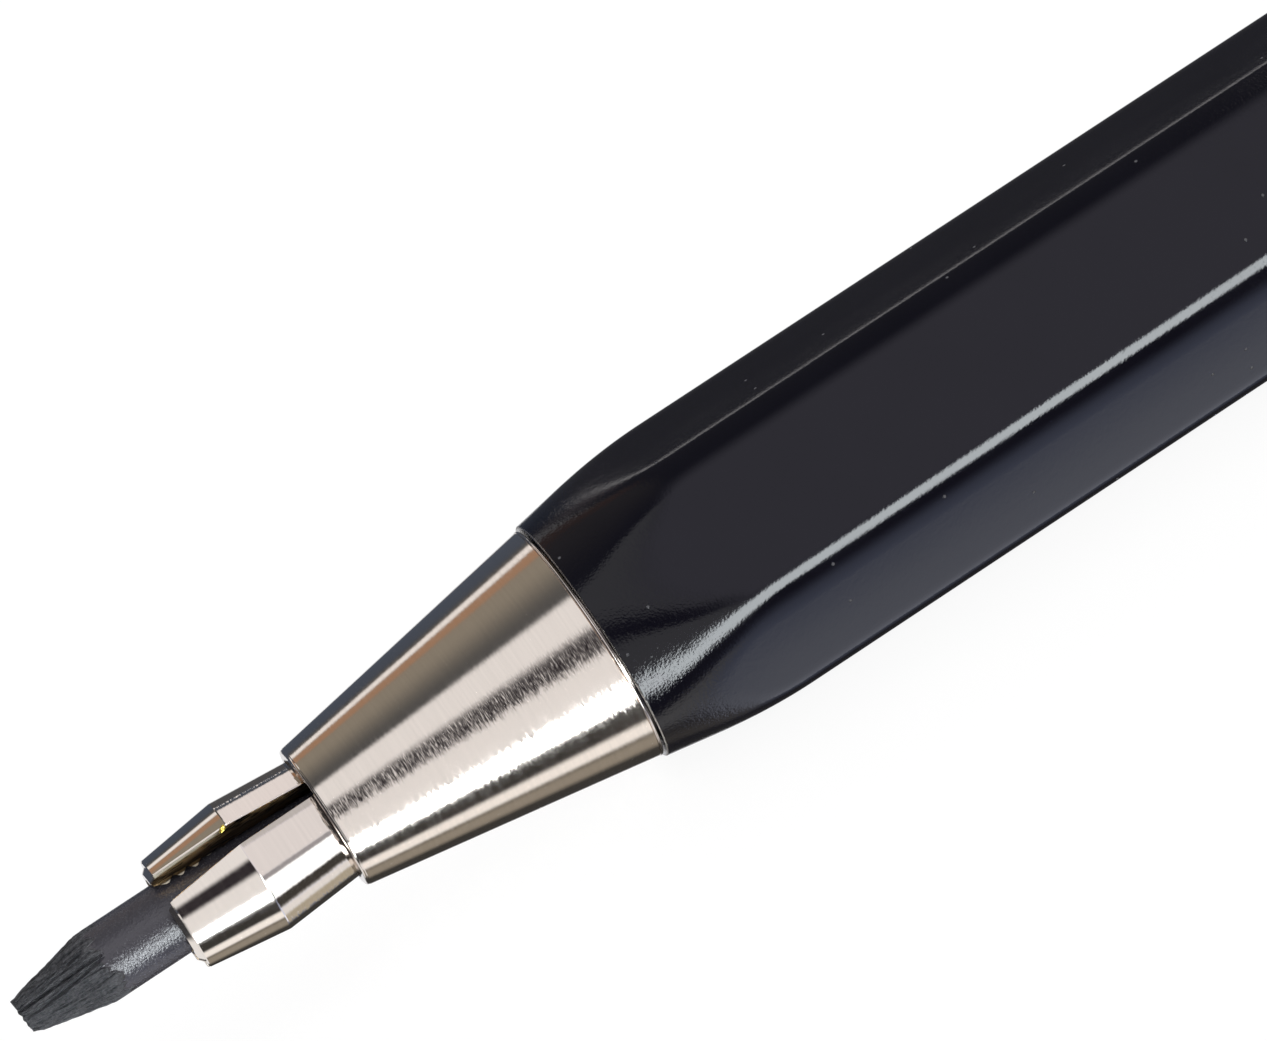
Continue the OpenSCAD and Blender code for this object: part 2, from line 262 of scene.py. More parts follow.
def along(tree, mm):
    """The station along the pencil, in millimetres."""
    x = tree.add("SeparateXYZ", {0: mm}).outputs[0]
    return tree.math("SUBTRACT", x, NOSE_X / MM)


def from_axis(tree, mm):
    """The coordinates in millimetres, counted from the height of the axis."""
    return tree.vector("SUBTRACT", mm, (0, 0, AXIS_Z / MM))


def wrapped(tree, mm, radius):
    """Coordinates in millimetres on the surface: along the pencil, and round it from its back."""
    x, y, z = tree.add("SeparateXYZ", {0: from_axis(tree, mm)}).outputs
    turn = tree.math("ARCTAN2", z, tree.math("MULTIPLY", y, -1.0))
    return tree.add("CombineXYZ", {0: x, 1: tree.math("MULTIPLY", turn, radius)}).outputs[0]


def connect(tree, source, shader, name):
    tree.feed(source, shader.inputs[name])


# ---- Materials ----


# Radians by which the lacquer leans the surface outwards, at FLAT_R from the middle of a flat.
CROWN = 0.045


def lacquer():
    """Glossy black lacquer: faint orange peel, coarser near the nose, and a few specks of dust.

    It is thickest in the middle of each flat, which crowns the flats a little."""
    material, tree, shader, mm = new_material("black_lacquer")
    peel = tree.noise(mm, 5.5, detail=3.0, rough=0.6)
    pits = tree.noise(mm, 16.0)
    coarse = tree.ramp(along(tree, mm), BARREL_START + 0.4, BARREL_START + 3.8, 3.5, 0.0)
    peel_height = tree.math("MULTIPLY", peel, tree.math("ADD", coarse, 1.0))
    pit_height = tree.math("MULTIPLY", pits, tree.math("ADD", coarse, 1.2))
    height = tree.math("ADD", peel_height, pit_height)
    sheet = {"Vector": wrapped(tree, mm, FLAT_R), "Scale": 0.9}
    cells = tree.add("TexVoronoi", sheet, voronoi_dimensions="2D")
    near = tree.ramp(cells.outputs["Distance"], 0.02, 0.045, 1.0, 0.0)
    picked = tree.add("SeparateColor", {0: cells.outputs["Color"]}).outputs[0]
    speck = tree.math("MULTIPLY", near, tree.math("GREATER_THAN", picked, 0.87))
    cloud = tree.noise(mm, 0.5)
    base = tree.mix(cloud, (0.0035, 0.0033, 0.0068, 1), (0.0055, 0.0052, 0.0095, 1))
    connect(tree, tree.mix(speck, base, (0.11, 0.11, 0.12, 1)), shader, "Base Color")
    smears = tree.noise(stretched(tree, mm, 0.35, 1.4, 1.4), 1.0, detail=4.0)
    rough = tree.ramp(smears, 0.3, 0.75, 0.045, 0.085)
    connect(tree, tree.math("MAXIMUM", rough, speck), shader, "Roughness")
    dust = tree.math("ADD", height, tree.math("MULTIPLY", speck, 14))
    outward = stretched(tree, from_axis(tree, mm), 0, CROWN / FLAT_R, CROWN / FLAT_R)
    face = tree.add("NewGeometry").outputs["Normal"]
    crowned = tree.vector("NORMALIZE", tree.vector("ADD", face, outward))
    connect(tree, tree.bump(dust, 1.1e-6, crowned), shader, "Normal")
    connect(tree, 1.37, shader, "IOR")
    return material


def turned_metal(name, colour, tilt, rough=0.1, polished_to=None, lean=0.0):
    """Plated metal with turning marks: rings that tilt the surface by up to about tilt radians.

    Up to the station polished_to the marks are mostly buffed away. Behind it they are saw-toothed,
    which leans the surface by lean radians towards the button."""
    material, tree, shader, mm = new_material(name)
    connect(tree, 1.0, shader, "Metallic")
    total = tree.add("NewGeometry").outputs["Normal"]
    kept = 1.0
    if polished_to is not None:
        rear = tree.ramp(along(tree, mm), polished_to - 0.01, polished_to + 0.01)
        kept = tree.math("MAXIMUM", rear, 0.15)
        leaning = tree.add("CombineXYZ", {0: tree.math("MULTIPLY", rear, lean)}).outputs[0]
        total = tree.vector("ADD", total, leaning)
    # Rings to the millimetre, how often they break off round the axis, and their share of the tilt.
    for rings, breaks, share in ((26, 1.6, 0.8), (48, 7.0, 1.4)):
        source = {"Vector": stretched(tree, mm, rings, breaks, breaks), "Scale": 1.0, "Detail": 1.0}
        marks = tree.add("TexNoise", source).outputs["Color"]
        centred = tree.vector("SUBTRACT", marks, (0.5, 0.5, 0.5))
        lengthwise = 3 * tilt * share
        crosswise = 0.4 * tilt * share
        tilted = stretched(tree, centred, lengthwise, crosswise, crosswise)
        tilted = tree.add("VectorMath", {0: tilted, "Scale": kept}, operation="SCALE").outputs[0]
        total = tree.vector("ADD", total, tilted)
    connect(tree, tree.vector("NORMALIZE", total), shader, "Normal")
    tint = tree.noise(stretched(tree, mm, 14, 0.3, 0.3), 1.0, detail=3.0)
    darker = [c * 0.94 for c in colour] + [1]
    lighter = [min(1, c * 1.04) for c in colour] + [1]
    connect(tree, tree.mix(tint, darker, lighter), shader, "Base Color")
    wear = tree.noise(stretched(tree, mm, 11, 0.9, 0.9), 1.0, detail=3.0)
    connect(tree, tree.ramp(wear, 0.3, 0.7, rough * 0.8, rough * 1.25), shader, "Roughness")
    return material


def sawn_brass():
    """The collet's slots: sawn brass with marks along the cut and patchy grime, darkened by painted shade
    towards the lead, deep in the slot.

    The outer edge near the front and the tips of the teeth get a painted highlight: paler, less metallic.
    A level is the distance from the axis, less what the jaw's cone adds to it behind the front."""
    material, tree, shader, mm = new_material("sawn_brass")
    turned = tree.add("Mapping", {"Vector": mm, "Rotation": (0, math.radians(11), 0)}).outputs[0]
    marks = tree.noise(stretched(tree, turned, 0.8, 15, 15), 1.0, detail=3.0, rough=0.6)
    grime = tree.noise(stretched(tree, mm, 0.9, 3.5, 3.5), 1.0, detail=3.0)
    across = stretched(tree, from_axis(tree, mm), 0, 1, 1)
    radius = tree.add("VectorMath", {0: across}, operation="LENGTH").outputs["Value"]
    x = along(tree, mm)
    rise = tree.ramp(x, JAW_FRONT, JAW_BEND, 0.0, 0.32, smooth=False)
    level = tree.math("SUBTRACT", radius, rise)
    shade = tree.ramp(tree.math("MULTIPLY", marks, grime), 0.14, 0.29)
    # Painted shade: darker towards the axis, down to an eighth of the tone at the lead, deep in the slot.
    shade = tree.math("MULTIPLY", shade, tree.ramp(level, 1.10, 1.36, 0.12, 1.0))
    # Painted highlight: the outer edge near the front and the burred tips of the teeth turn pale cream and
    # lose most of their metal, so that they show bright.
    forward = tree.ramp(x, JAW_BEND - 0.5, JAW_BEND, 1.0, 0.0)
    edge = tree.math("MULTIPLY", tree.ramp(level, 1.40, 1.50), forward)
    burred = tree.ramp(radius, 1.08, 1.11, 0.8, 0.0)
    painted_highlight = tree.math("MAXIMUM", edge, burred)
    grime_and_painted_shade = tree.mix(shade, (0.02, 0.012, 0.006, 1), (0.95, 0.66, 0.34, 1))
    connect(tree, tree.mix(painted_highlight, grime_and_painted_shade, (1.0, 0.93, 0.78, 1)), shader, "Base Color")
    connect(tree, tree.math("SUBTRACT", 1.0, tree.math("MULTIPLY", painted_highlight, 0.7)), shader, "Metallic")
    connect(tree, tree.ramp(grime, 0.3, 0.7, 0.3, 0.5), shader, "Roughness")
    connect(tree, tree.bump(marks, 2.2e-5), shader, "Normal")
    return material


def graphite():
    """Graphite lead: grainy and faintly drawn along the stick, scraped and scored at the point."""
    material, tree, shader, mm = new_material("graphite")
    x = along(tree, mm)
    grain = tree.noise(mm, 14, rough=0.6)
    drawn = tree.noise(stretched(tree, mm, 2.2, 9, 9), 1.0, detail=3.0)
    ragged = tree.noise(stretched(tree, mm, 0.2, 3.2, 3.2), 1.0)
    edge = tree.math("ADD", x, tree.math("MULTIPLY", ragged, 1.5))
    scraped = tree.ramp(edge, POINT_END + 1.0, POINT_END + 1.12, 1.0, 0.0)
    scores = tree.noise(stretched(tree, mm, 1.2, 9, 9), 1.0, detail=5.0, rough=0.75)
    crumbs = tree.noise(mm, 14, detail=3.0, rough=0.7)
    body = tree.mix(grain, (0.034, 0.032, 0.040, 1), (0.060, 0.058, 0.072, 1))
    dust = tree.ramp(tree.math("MULTIPLY", scores, crumbs), 0.16, 0.38)
    cut = tree.mix(dust, (0.008, 0.010, 0.014, 1), (0.105, 0.108, 0.120, 1))
    connect(tree, tree.mix(scraped, body, cut), shader, "Base Color")
    gloss = tree.ramp(grain, 0.35, 0.65, 0.16, 0.28)
    connect(tree, tree.math("ADD", gloss, tree.math("MULTIPLY", scraped, 0.2)), shader, "Roughness")
    smooth = tree.math("ADD", grain, tree.math("MULTIPLY", drawn, 0.3))
    scored = tree.math("MULTIPLY", scores, tree.math("MULTIPLY", scraped, 6.0))
    connect(tree, tree.bump(tree.math("ADD", smooth, scored), 1.7e-5), shader, "Normal")
    connect(tree, 1.62, shader, "IOR")
    return material


def plain_metal(name, colour, rough, grain, height, stretch=(3, 3, 3)):
    """Bare or plated metal with a fine grain, for what isn't turned."""
    material, tree, shader, mm = new_material(name)
    connect(tree, 1.0, shader, "Metallic")
    marks = tree.noise(stretched(tree, mm, *stretch), grain, detail=4.0, rough=0.6)
    stain = tree.noise(mm, 0.8, detail=3.0)
    darker = [c * 0.82 for c in colour] + [1]
    connect(tree, tree.mix(stain, darker, list(colour) + [1]), shader, "Base Color")
    connect(tree, tree.ramp(marks, 0.3, 0.7, rough * 0.75, rough * 1.25), shader, "Roughness")
    connect(tree, tree.bump(marks, height), shader, "Normal")
    return material


NICKEL = (0.76, 0.695, 0.645)
LACQUER = lacquer()
TURNED = turned_metal("turned_nickel", NICKEL, 0.036)
SATIN = turned_metal("satin_nickel", NICKEL, 0.036, 0.24)
COLLET = turned_metal("collet_nickel", (0.78, 0.72, 0.67), 0.034, 0.07, JAW_BEND, 0.14)
SAWN = sawn_brass()
CURL = plain_metal("brass_curl", (1.0, 0.78, 0.16), 0.3, 8.0, 6e-6)
GRAPHITE = graphite()
BRASS = plain_metal("brass", (0.78, 0.60, 0.31), 0.28, 1.0, 3e-6, (1.5, 14, 14))
WIRE = plain_metal("spring_wire", (0.62, 0.62, 0.64), 0.3, 6.0, 2e-6)
BARE_EDGE = plain_metal("bare_edge", (0.50, 0.47, 0.44), 0.3, 5.0, 1.2e-5)
CLIP = plain_metal("clip_nickel", (0.78, 0.725, 0.68), 0.28, 1.0, 2e-6, (0.8, 16, 6))
INSERT = plain_metal("machined_steel", (0.56, 0.56, 0.58), 0.35, 1.0, 4e-6, (12, 1, 1))
BLADE = plain_metal("ground_steel", (0.72, 0.72, 0.74), 0.22, 1.0, 3e-6, (2, 20, 20))

# ---- Barrel ----


def hexagon_radius(degrees):
    """Distance from the axis to the rounded hexagon, at an angle from the middle of a flat."""
    a = math.radians(abs((degrees + 30) % 60 - 30))
    centre = (FLAT_R - CORNER_R) / math.cos(math.radians(30))
    if FLAT_R * math.tan(a) <= centre / 2:
        return FLAT_R / math.cos(a)
    b = math.radians(30) - a
    return centre * math.cos(b) + math.sqrt(CORNER_R**2 - (centre * math.sin(b)) ** 2)


def smooth_min(a, b, width):
    """The smaller of two values, rounded over where they differ by less than width."""
    share = max(width - abs(a - b), 0) / width
    return min(a, b) - share * share * width / 4


def barrel_radius(x, degrees):
    """The hexagon, cut down to a cone at each end with a soft edge between them."""
    from_end = min(x - BARREL_START, BARREL_END - x)
    return smooth_min(hexagon_radius(degrees - 90), RIM_R + SHOULDER_SLOPE * from_end, SHOULDER_BLEND)


def make_barrel():
    """The hexagonal tube. Its rims are rounded over and worn bare of lacquer."""
    rim = 0.05
    rim_steps = (1, 2, 3, 4)
    sector = spread(0, 60, 2.2)[:-1]
    angles = [90 + 60 * k + a for k in range(6) for a in sector]
    shoulder = 6.5
    stations = spread(BARREL_START + rim, BARREL_START + shoulder, 0.1)
    stations += spread(BARREL_START + shoulder, BARREL_END - shoulder, 5.0)[1:]
    stations += spread(BARREL_END - shoulder, BARREL_END - rim, 0.1)[1:]
    bm = bmesh.new()

    def ring(x, radii):
        return [bm.verts.new(place(x, r, a)) for r, a in zip(radii, angles)]

    def outer(x, drop=0):
        return [barrel_radius(x, a) - drop for a in angles]

    def rim_rings(end, inward, steps):
        made = []
        for step in steps:
            a = math.radians(90 * step / len(steps))
            x = end + inward * rim * (1 - math.sin(a))
            made.append(ring(x, outer(end + inward * rim, rim * (1 - math.cos(a)))))
        return made

    rings = rim_rings(BARREL_START, 1, rim_steps[::-1])
    rings += [ring(x, outer(x)) for x in stations]
    rings += rim_rings(BARREL_END, -1, rim_steps)
    rings += [ring(x, [BORE_R] * len(angles)) for x in spread(BARREL_START, BARREL_END, 10)[::-1]]
    strips = bridge(bm, rings, closed=True)
    within = len(rim_steps) - 1
    back_rim = len(rim_steps) + len(stations)
    for strip in strips[:within] + strips[back_rim:back_rim + within]:
        for face in strip:
            face.material_index = 1
    finish_mesh("barrel_shell", bm, "root", ["barrel"], [LACQUER, BARE_EDGE])


# ---- Nose cone ----


def make_nose():
    """The turned nose: a rounded lip, the cone, a small bead at its base, and the spigot.

    Inside are the conical seat for the jaws, the throat behind it and the spigot's bore."""
    slope = (NOSE_BASE_R - NOSE_TIP_R) / BARREL_START
    lip = 0.07
    bead = 0.04
    gap = 0.055
    gap_floor = NOSE_BASE_R - 0.4
    spigot_bore = 2.2
    throat_end = 5.0
    throat_start = 0.9
    throat_r = 1.684
    bead_x = BARREL_START - gap - bead
    bead_r = NOSE_BASE_R - bead
    groove = bead_x - bead
    end = end_of("nose_cone")
    outline = [(lip * 0.6, MOUTH_R), (0.0, MOUTH_R + lip * 0.7)]
    outline += arc(lip, NOSE_TIP_R - lip, lip, -90, 0, 5)
    outline += [(x, NOSE_TIP_R + slope * x) for x in (lip + 0.02, lip + 0.05)]
    outline += [(x, NOSE_TIP_R + slope * x) for x in spread(lip + 0.3, groove - 0.3, 0.4)]
    outline += [(x, NOSE_TIP_R + slope * x) for x in (groove - 0.05, groove - 0.02)]
    outline += [(groove, NOSE_TIP_R + slope * groove - 0.03)]
    outline += arc(bead_x, bead_r, bead, -60, 90, 6)
    outline += [
        (bead_x + bead, gap_floor),
        (BARREL_START, gap_floor),
        (BARREL_START, SPIGOT_R),
        (end, SPIGOT_R),
        (end, spigot_bore),
        (throat_end, spigot_bore),
        (throat_start, throat_r),
    ]
    finish_mesh("nose_cone_turned", revolved(outline), "root", ["nose_cone"], [TURNED], 26)


# ---- Collet jaws ----


def slot_width(x):
    """The slots between the jaws widen towards the front."""
    return max(SLOT_MIN_W, SLOT_W - SLOT_SPREAD * x)


def jaw_outline():
    """The section of a jaw as a closed loop of (station, radius), from the lip backwards.

    The front three teeth have their full depth, and the others get shallower towards the back."""
    lip = JAW_FRONT - JAW_LIP
    lip_r = GRIP_R + 0.45
    edge = 0.03
    edge_rise = 0.003
    front_slope = (JAW_BEND_R - JAW_TIP_R) / (JAW_BEND - JAW_FRONT)
    rear_slope = (JAW_NOSE_R - JAW_BEND_R) / -JAW_BEND
    thin = (FINGER_R - JAW_NOSE_R) / rear_slope
    teeth_start = JAW_FRONT + 0.08
    teeth_end = JAW_FRONT + TEETH * TOOTH_PITCH
    loop = [(lip + edge, GRIP_ROOT_R), (lip, GRIP_ROOT_R + edge)]
    loop += [(lip, lip_r - JAW_LIP), (JAW_FRONT, lip_r)]
    loop += [(JAW_FRONT, JAW_TIP_R - edge), (JAW_FRONT + edge, JAW_TIP_R + edge_rise)]
    for x in spread(JAW_FRONT + 0.2, JAW_BEND - 0.02, 0.35):
        loop.append((x, JAW_TIP_R + front_slope * (x - JAW_FRONT)))
    loop += [(x, JAW_NOSE_R + rear_slope * x) for x in spread(JAW_BEND + 0.02, thin, 0.4)]
    loop += [(x, FINGER_R) for x in spread(thin + 0.3, FINGER_END, 1.2)]
    loop += [(x, GRIP_ROOT_R) for x in spread(teeth_end + 0.4, FINGER_END, 1.2)[::-1]]
    for i in reversed(range(TEETH)):
        start = teeth_start + i * TOOTH_PITCH
        share = max(0.1, min(1, (5.5 - i) / 3))
        depth = (GRIP_ROOT_R - GRIP_R) * share
        loop += [
            (start + TOOTH_PITCH * 0.93, GRIP_ROOT_R),
            (start + TOOTH_PITCH * 0.55, GRIP_ROOT_R - depth),
            (start + TOOTH_PITCH * 0.35, GRIP_ROOT_R - depth),
        ]
    return loop


def inset_loop(loop, depth):
    """The loop moved inwards by depth. It runs with its inside on the right."""
    moved = []
    for i, (x, r) in enumerate(loop):
        last_x, last_r = loop[i - 1]
        next_x, next_r = loop[(i + 1) % len(loop)]
        before = Vector((x - last_x, r - last_r)).normalized()
        after = Vector((next_x - x, next_r - r)).normalized()
        inward = Vector((before.y + after.y, -before.x - after.x)).normalized()
        moved.append((x + inward.x * depth, r + inward.y * depth))
    return moved


def brass_curl(bm, where):
    """A crumb of brass that sawing the slot left on its edge. Returns its faces."""
    half_size = Vector((0.12, 0.05, 0.055)) * MM
    made = bmesh.ops.create_icosphere(bm, subdivisions=3, radius=1.0)["verts"]
    lean = Matrix.Rotation(math.radians(-35), 3, "Y")
    for v in made:
        lump = 1 + 0.5 * noise.noise(v.co * 1.7)
        v.co = where + lean @ (v.co * lump * half_size)
    return {face for v in made for face in v.link_faces}


def make_jaw(number, centre):
    """A third of the collet round its middle angle: nickel outside, sawn brass inside and in the slots."""
    loop = jaw_outline()
    bevel = 0.03
    inner = inset_loop(loop, bevel)
    steps = 26
    nickel, sawn, curl = range(3)
    bm = bmesh.new()

    def away(point):
        return math.hypot(point.y, point.z - AXIS_Z) / MM

    def half_angle(x, r, back):
        """Half the angle that the jaw spans, where its side stands back from the slot's wall."""
        return 60 - math.degrees(math.asin((slot_width(x) / 2 + back) / r))

    def wall(side):
        """The slot's wall. The tips of the teeth are burred over into the slot."""
        tip = GRIP_R + bevel + 0.01
        burr = -0.09
        return [
            bm.verts.new(place(x, r, centre + side * half_angle(x, r, burr if r < tip else 0)))
            for x, r in inner
        ]

    columns = [wall(-1)]
    for i in range(steps + 1):
        share = 2 * i / steps - 1
        columns.append([bm.verts.new(place(x, r, centre + share * half_angle(x, r, bevel))) for x, r in loop])
    columns.append(wall(1))
    strips = bridge(bm, columns)

    # Each slot wall is one flat face without the teeth, and a face for each tooth.
    tips = {i for i, (_, r) in enumerate(loop) if r < GRIP_ROOT_R - 0.001}
    for column in (columns[0], columns[-1]):
        walls = [[v for i, v in enumerate(column) if i not in tips]]
        for i in tips:
            if i + 1 in tips:
                walls.append((column[i - 1], column[i], column[i + 1], column[(i + 2) % len(column)]))
        for corners in walls:
            bm.faces.new(corners).material_index = sawn
    for strip in strips[1:-1]:
        for face in strip:
            inside = away(face.calc_center_median()) < GRIP_ROOT_R + 0.05
            face.material_index = sawn if inside else nickel
    if number == 1:
        slot_edge = centre - 60 + 9
        for face in brass_curl(bm, place(JAW_BEND - 0.13, JAW_BEND_R, slot_edge)):
            face.material_index = curl
    name = f"jaw_{number}"
    body = "jaw_" + "abc"[number - 1]
    finish_mesh(name + "_ground", bm, body, [name], [COLLET, SAWN, CURL], 5)


# ---- Lead ----


# Gouges left by scraping the point: the angles round the axis at which each starts and ends, its depth
# and half width in millimetres, and the stations between which it runs.
GOUGES = (
    (37, 34, 0.075, 0.045, -9.3, -6.40),
    (9, 31, 0.085, 0.055, -9.25, -6.43),
    (-10, 2, 0.055, 0.040, -8.5, -6.18),
    (-16, -11, 0.045, 0.035, -7.8, -6.78),
    (-26, -19, 0.050, 0.055, -7.5, -6.58),
    (-38, -33, 0.035, 0.040, -8.8, -6.68),
    (20, 18, 0.030, 0.030, -8.3, -6.48),
    (52, 47, 0.035, 0.040, -9.2, -6.68),
    (62, 55, 0.035, 0.040, -9.0, -6.88),
    (77, 69, 0.050, 0.060, -8.1, -6.48),
    (92, 90, 0.035, 0.060, -9.2, -6.48),
    (112, 116, 0.05, 0.08, -9.3, -6.38),
    (158, 150, 0.05, 0.07, -9.0, -6.28),
    (204, 208, 0.06, 0.08, -9.3, -6.38),
    (251, 242, 0.05, 0.07, -8.8, -6.28),
    (292, 300, 0.05, 0.08, -9.3, -6.38),
)


def gouged(x, degrees, radius):
    """Depth of the gouges at a place on the point. Each gets shallow towards its ends."""
    depth = 0
    for first, last, deep, half, start, end in GOUGES:
        if start <= x <= end:
            middle = first + (last - first) * (x - start) / (end - start)
            off = math.radians(abs((degrees - middle + 180) % 360 - 180)) * radius / half
            ends = min(1, (x - start) / 0.3 + 0.4, (end - x) / 0.2)
            depth = max(depth, deep * max(0, 1 - off * off) * ends)
    return depth


def scraped_radius(x, degrees):
    """How far the scraped point stands from the axis, with its facets and gouges."""
    share = (x - TIP) / (POINT_END - TIP)
    cone = POINT_R + (LEAD_R - POINT_R) * share
    a = math.radians(degrees)
    around = Vector((math.cos(a), math.sin(a), 0))
    facets = noise.noise(around * 1.7 + Vector((3.1, 0, 0))) * 0.04
    flutes = noise.noise(around * 6.5 + Vector((0, 7.7, x * 0.22))) * 0.045
    fine = noise.noise(around * 19 + Vector((5.5, 0, x * 0.6))) * 0.03
    chips = noise.noise(around * 11 + Vector((0, 2.2, x * 7))) * 0.016
    return cone + facets + flutes + fine + chips - gouged(x, degrees, cone)


def make_lead():
    """The lead: a round stick with a scraped point, whose blunt end is ragged."""
    segments = 360
    ragged_length = 0.5
    bm = bmesh.new()
    stations = spread(TIP, SCRAPED_END, 0.04) + spread(SCRAPED_END, LEAD_END, 6)[1:]
    rings = []
    for x in stations:
        ring = []
        for i in range(segments):
            degrees = 360 * i / segments
            a = math.radians(degrees)
            around = Vector((math.cos(a), math.sin(a), 0))
            ragged = 0.20 + 0.05 * noise.noise(around * 2.6 + Vector((9, 0, 0))) - 0.03 * math.sin(a)
            shift = max(0, 1 - (x - TIP) / ragged_length) * ragged
            radius = min(LEAD_R, scraped_radius(x, degrees)) if x < SCRAPED_END else LEAD_R
            ring.append(bm.verts.new(place(x + shift, radius, degrees)))
        rings.append(ring)
    bridge(bm, rings)

    # Both ends are closed, and sunk a little towards their middle.
    for ring, sunk in ((rings[0], 0.05), (rings[-1], -0.02)):
        inner = []
        for v in ring:
            centre = Vector((v.co.x + sunk * MM, 0, AXIS_Z))
            inner.append(bm.verts.new(v.co.lerp(centre, 0.45)))
        hub = bm.verts.new(sum((v.co for v in inner), Vector()) / len(inner))
        bridge(bm, [ring, inner])
        for i in range(segments):
            bm.faces.new((inner[i], inner[(i + 1) % segments], hub))
    finish_mesh("lead_stick", bm, "lead_stick", ["lead"], [GRAPHITE], 50)


# ---- Rear end ----


def make_ferrule():
    """The ferrule: a spigot in the barrel, a neck for the clip's ring and a flange with a round back."""
    spigot_start = BARREL_END - 5
    flange_r = 3.35
    neck_r = 2.71
    bore = 2.42
    front_edge = 0.08
    back_edge = 0.5
    step = 0.02
    step_x = FERRULE_END - back_edge - 0.08
    outline = [(spigot_start, SPIGOT_R), (BARREL_END, SPIGOT_R), (BARREL_END, neck_r), (RING_END, neck_r)]
    outline += arc(RING_END + front_edge, flange_r - front_edge, front_edge, -90, 0, 4)
    outline += [(step_x - 0.04, flange_r), (step_x, flange_r - step)]
    outline += arc(FERRULE_END - back_edge, flange_r - step - back_edge, back_edge, 10, 90, 8)
    outline += [(FERRULE_END - 0.02, bore + 0.06), (FERRULE_END - 0.08, bore), (spigot_start, bore)]
    finish_mesh("end_ferrule_turned", revolved(outline), "root", ["end_ferrule"], [SATIN])


def make_button():
    """The knurled button. Its grooves run lengthwise, and fade out at both ends.

    Inside are the bore for the sharpener and a pocket for its dust."""
    start = start_of("button_shell")
    head = BUTTON_END - 9.7
    neck_r = 2.36
    neck_edge = 0.15
    head_r = 2.9
    head_edge = 0.25
    dome_r = 1.2
    dome = BUTTON_END - dome_r
    dome_flat_r = 0.9
    bore = 1.97
    bore_edge = 0.1
    bore_end = BUTTON_END - 5.3
    dust_r = 1.5
    dust_end = BUTTON_END - 3.2
    pinhole = 0.02
    groove_start = head + 1.0
    groove_end = dome - 0.8
    groove_depth = 0.2
    grooves = 30
    per_groove = 8
    segments = grooves * per_groove
    outline = [(start, bore + bore_edge), (start, neck_r - neck_edge)]
    outline += arc(start + neck_edge, neck_r - neck_edge, neck_edge, -90, 0, 4)
    outline += [(head - 0.08, neck_r), (head, neck_r + 0.06)]
    outline += arc(head + head_edge, head_r - head_edge, head_edge, -90, 0, 5)
    outline += [(x, head_r) for x in spread(head + 0.4, dome - 0.1, 0.15)]
    outline += arc(dome, head_r - dome_r, dome_r, 0, 90, 12)
    outline += [(BUTTON_END, dome_flat_r), (BUTTON_END, pinhole), (dust_end, pinhole)]
    outline += [(dust_end, dust_r), (bore_end, dust_r), (bore_end, bore), (start + bore_edge, bore)]
    bm = bmesh.new()

    def depth(x, i):
        ends = min(x - groove_start, groove_end - x) / 0.3
        vee = abs(i % per_groove - per_groove / 2) / (per_groove / 2)
        return groove_depth * max(0, min(1, ends)) * max(0, 1 - vee * 1.35)

    rings = []
    for x, r in outline:
        cut = [depth(x, i) if r == head_r else 0 for i in range(segments)]
        rings.append([bm.verts.new(place(x, r - cut[i], 360 * i / segments)) for i in range(segments)])
    bridge(bm, rings, closed=True)
    finish_mesh("button_knurled", bm, "button", ["button_shell"], [SATIN], 40)


def make_clip_arm():
    """The clip's arm: rounded sheet, with a round end and a dimple pressed down as its foot."""
    low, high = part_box("clip_arm")
    start = station(low.x)
    end = station(high.x)
    top = (high.z - AXIS_Z) / MM
    bottom = (low.z - AXIS_Z) / MM
    thick = 0.5
    half = (high.y - low.y) / MM / 2
    tip_half = 0.02
    edge = 0.16
    foot = start + 2.2
    foot_r = 1.265
    fine_end = start + 5
    bm = bmesh.new()

    def half_width(x):
        back = half - (x - start)
        return math.sqrt(max(half**2 - back**2, tip_half**2)) if back > 0 else half

    def section(x):
        """The sheet's outline across, with round corners and points for the foot on both faces."""
        w = half_width(x)
        e = min(edge, w * 0.9)
        across = 12
        filled = []
        for corner, (side, up) in enumerate(((1, 1), (-1, 1), (-1, -1), (1, -1))):
            for i in range(5):
                a = math.radians(90 * corner + 22.5 * i)
                y = side * (w - e) + e * math.cos(a)
                z = up * (thick / 2 - edge) + edge * math.sin(a)
                filled.append((y, z))
            if up == side:
                filled += [(y - 2 * y * m / across, z) for m in range(1, across)]
        return filled

    def drop(x, y):
        """Drop of the sheet where the foot is pressed down."""
        reach = math.hypot(x - foot, y) / foot_r
        return (top - thick - bottom) * max(0, 1 - reach**2) ** 1.3

    rings = []
    for x in spread(start + 0.004, fine_end, 0.12) + spread(fine_end, end, 2.5)[1:]:
        ring = []
        for y, z in section(x):
            height = top - thick / 2 + z - drop(x, y)
            ring.append(bm.verts.new((NOSE_X + x * MM, y * MM, AXIS_Z + height * MM)))
        rings.append(ring)
    bridge(bm, rings)
    bm.faces.new(rings[0][::-1])
    bm.faces.new(rings[-1])
    finish_mesh("clip_arm_pressed", bm, "clip", ["clip_arm"], [CLIP], 40)


def make_spring():
    """The return spring: a copy of the CAD coil with its own mesh, riding on the plunger."""
    coil = bmesh.new()
    coil.from_mesh(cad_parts["return_spring"].data)
    piece = finish_mesh("return_spring_wound", coil, "plunger", ["return_spring"], [WIRE], 60)
    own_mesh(piece)


